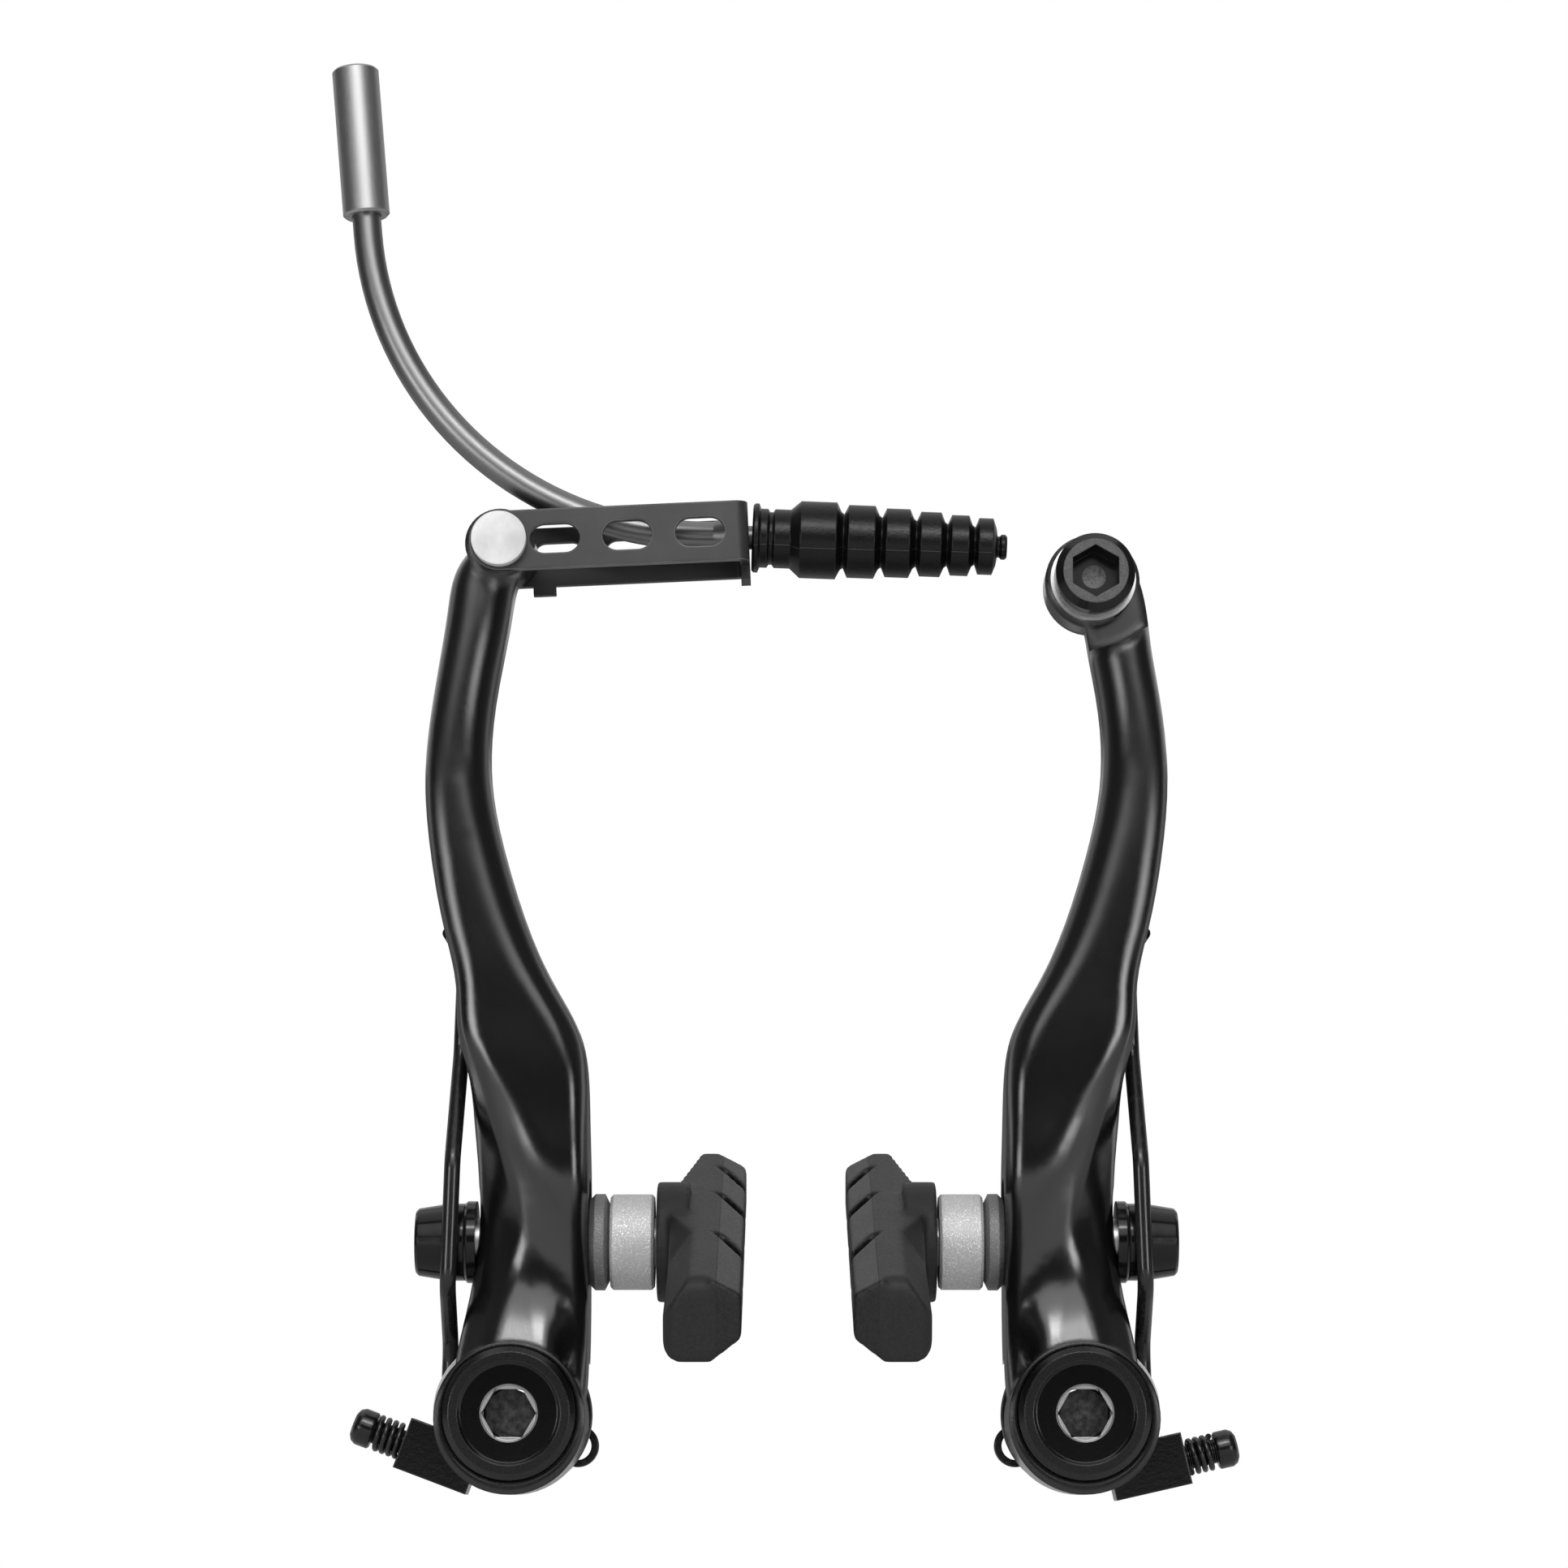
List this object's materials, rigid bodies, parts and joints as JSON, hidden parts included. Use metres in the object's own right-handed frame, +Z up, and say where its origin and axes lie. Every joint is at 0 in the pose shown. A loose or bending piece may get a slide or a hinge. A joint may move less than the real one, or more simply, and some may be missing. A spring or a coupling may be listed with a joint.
{
  "type": "pair of linear-pull rim brake arms",
  "caption": "Pair of black linear-pull bicycle rim brake arms with pads, return springs, a slotted link, a curved cable guide pipe with bellows boot, and a cable fixing bolt.",
  "frame": {"origin": "midway between the two pivots, in the plane where the bushes seat on the brake bosses", "axes": "+Z up along the arms, +X to the arm with the cable bolt, +Y to the rear, towards the frame; the front with the bolt heads faces -Y"},
  "size_m": [0.1157, 0.07, 0.183],
  "materials": {
    "arm_paint": "black paint, satin gloss",
    "bush_steel": "machined",
    "bare_steel": "bright, plain",
    "black_bolt": "blackened steel, gloss",
    "grey_ring": "smooth moulded",
    "bracket_plastic": "moulded, satin",
    "black_wire": "blackened spring wire, gloss",
    "grey_washer": "blasted grey",
    "silver_washer": "blasted silver",
    "pad_rubber": "matte, fine grain",
    "bright_rivet": "turned, bright",
    "link_paint": "dark grey, satin",
    "pipe_steel": "drawn tube, satin",
    "liner_plastic": "extruded",
    "ferrule_aluminium": "satin",
    "boot_rubber": "matte",
    "bright_washer": "bright, plain"
  },
  "bodies": {
    "pivots": {"left_pivot_bush": "bush_steel", "left_stop_pin": "bare_steel", "left_pivot_bolt": "black_bolt", "left_pivot_ring": "grey_ring", "left_spring_bracket": "bracket_plastic", "left_screw_spring": "black_wire", "left_return_spring": "black_wire", "right_pivot_bush": "bush_steel", "right_stop_pin": "bare_steel", "right_pivot_bolt": "black_bolt", "right_pivot_ring": "grey_ring", "right_spring_bracket": "bracket_plastic", "right_screw_spring": "black_wire", "right_return_spring": "black_wire"},
    "left_brake_arm": {"left_arm": "arm_paint", "left_spring_pin": "bare_steel", "left_pad": "pad_rubber", "left_pad_stud": "bare_steel", "left_pad_dome_washer": "grey_washer", "left_pad_cup_washer": "silver_washer", "left_outer_dome_washer": "black_bolt", "left_outer_cup_washer": "black_bolt", "left_pad_nut": "black_bolt", "link_rivet": "bright_rivet"},
    "right_brake_arm": {"right_arm": "arm_paint", "right_spring_pin": "bare_steel", "right_pad": "pad_rubber", "right_pad_stud": "bare_steel", "right_pad_dome_washer": "grey_washer", "right_pad_cup_washer": "silver_washer", "right_outer_dome_washer": "black_bolt", "right_outer_cup_washer": "black_bolt", "right_pad_nut": "black_bolt", "clamp_washer": "bright_washer", "cable_bolt": "black_bolt"},
    "cable_link": {"link": "link_paint"},
    "cable_guide": {"guide_pipe": "pipe_steel", "guide_liner": "liner_plastic", "guide_ferrule": "ferrule_aluminium", "cable_boot": "boot_rubber"},
    "left_screw": {"left_tension_screw": "black_bolt"},
    "right_screw": {"right_tension_screw": "black_bolt"}
  },
  "joints": [
    {"name": "left_arm_pivot", "type": "hinge", "parent": "pivots", "child": "left_brake_arm", "pos_m": [-0.03505, -0.0155, 0], "axis": [0, 1, 0], "range_deg": [-28, 1], "stiffness_Nm_per_rad": 0.8, "deforming": ["left_return_spring"]},
    {"name": "right_arm_pivot", "type": "hinge", "parent": "pivots", "child": "right_brake_arm", "pos_m": [0.03505, -0.0155, 0], "axis": [0, -1, 0], "range_deg": [-28, 1], "stiffness_Nm_per_rad": 0.8, "deforming": ["right_return_spring"]},
    {"name": "link_swing", "type": "hinge", "parent": "left_brake_arm", "child": "cable_link", "pos_m": [-0.0374, -0.0161, 0.1087], "axis": [0, -1, 0], "range_deg": [-25, 60]},
    {"name": "guide_pipe_swivel", "type": "hinge", "parent": "cable_link", "child": "cable_guide", "pos_m": [-0.00604, -0.0161, 0.11037], "axis": [0.9993, 0, -0.0384], "range_deg": [-25, 25]},
    {"name": "left_screw_turn", "type": "hinge", "parent": "pivots", "child": "left_screw", "pos_m": [-0.04931, -0.0044, -0.00331], "axis": [-0.9367, 0, 0.3502], "range_deg": [-180, 180]},
    {"name": "right_screw_turn", "type": "hinge", "parent": "pivots", "child": "right_screw", "pos_m": [0.04873, -0.0044, -0.00522], "axis": [0.9755, 0, 0.2198], "range_deg": [-180, 180]}
  ]
}
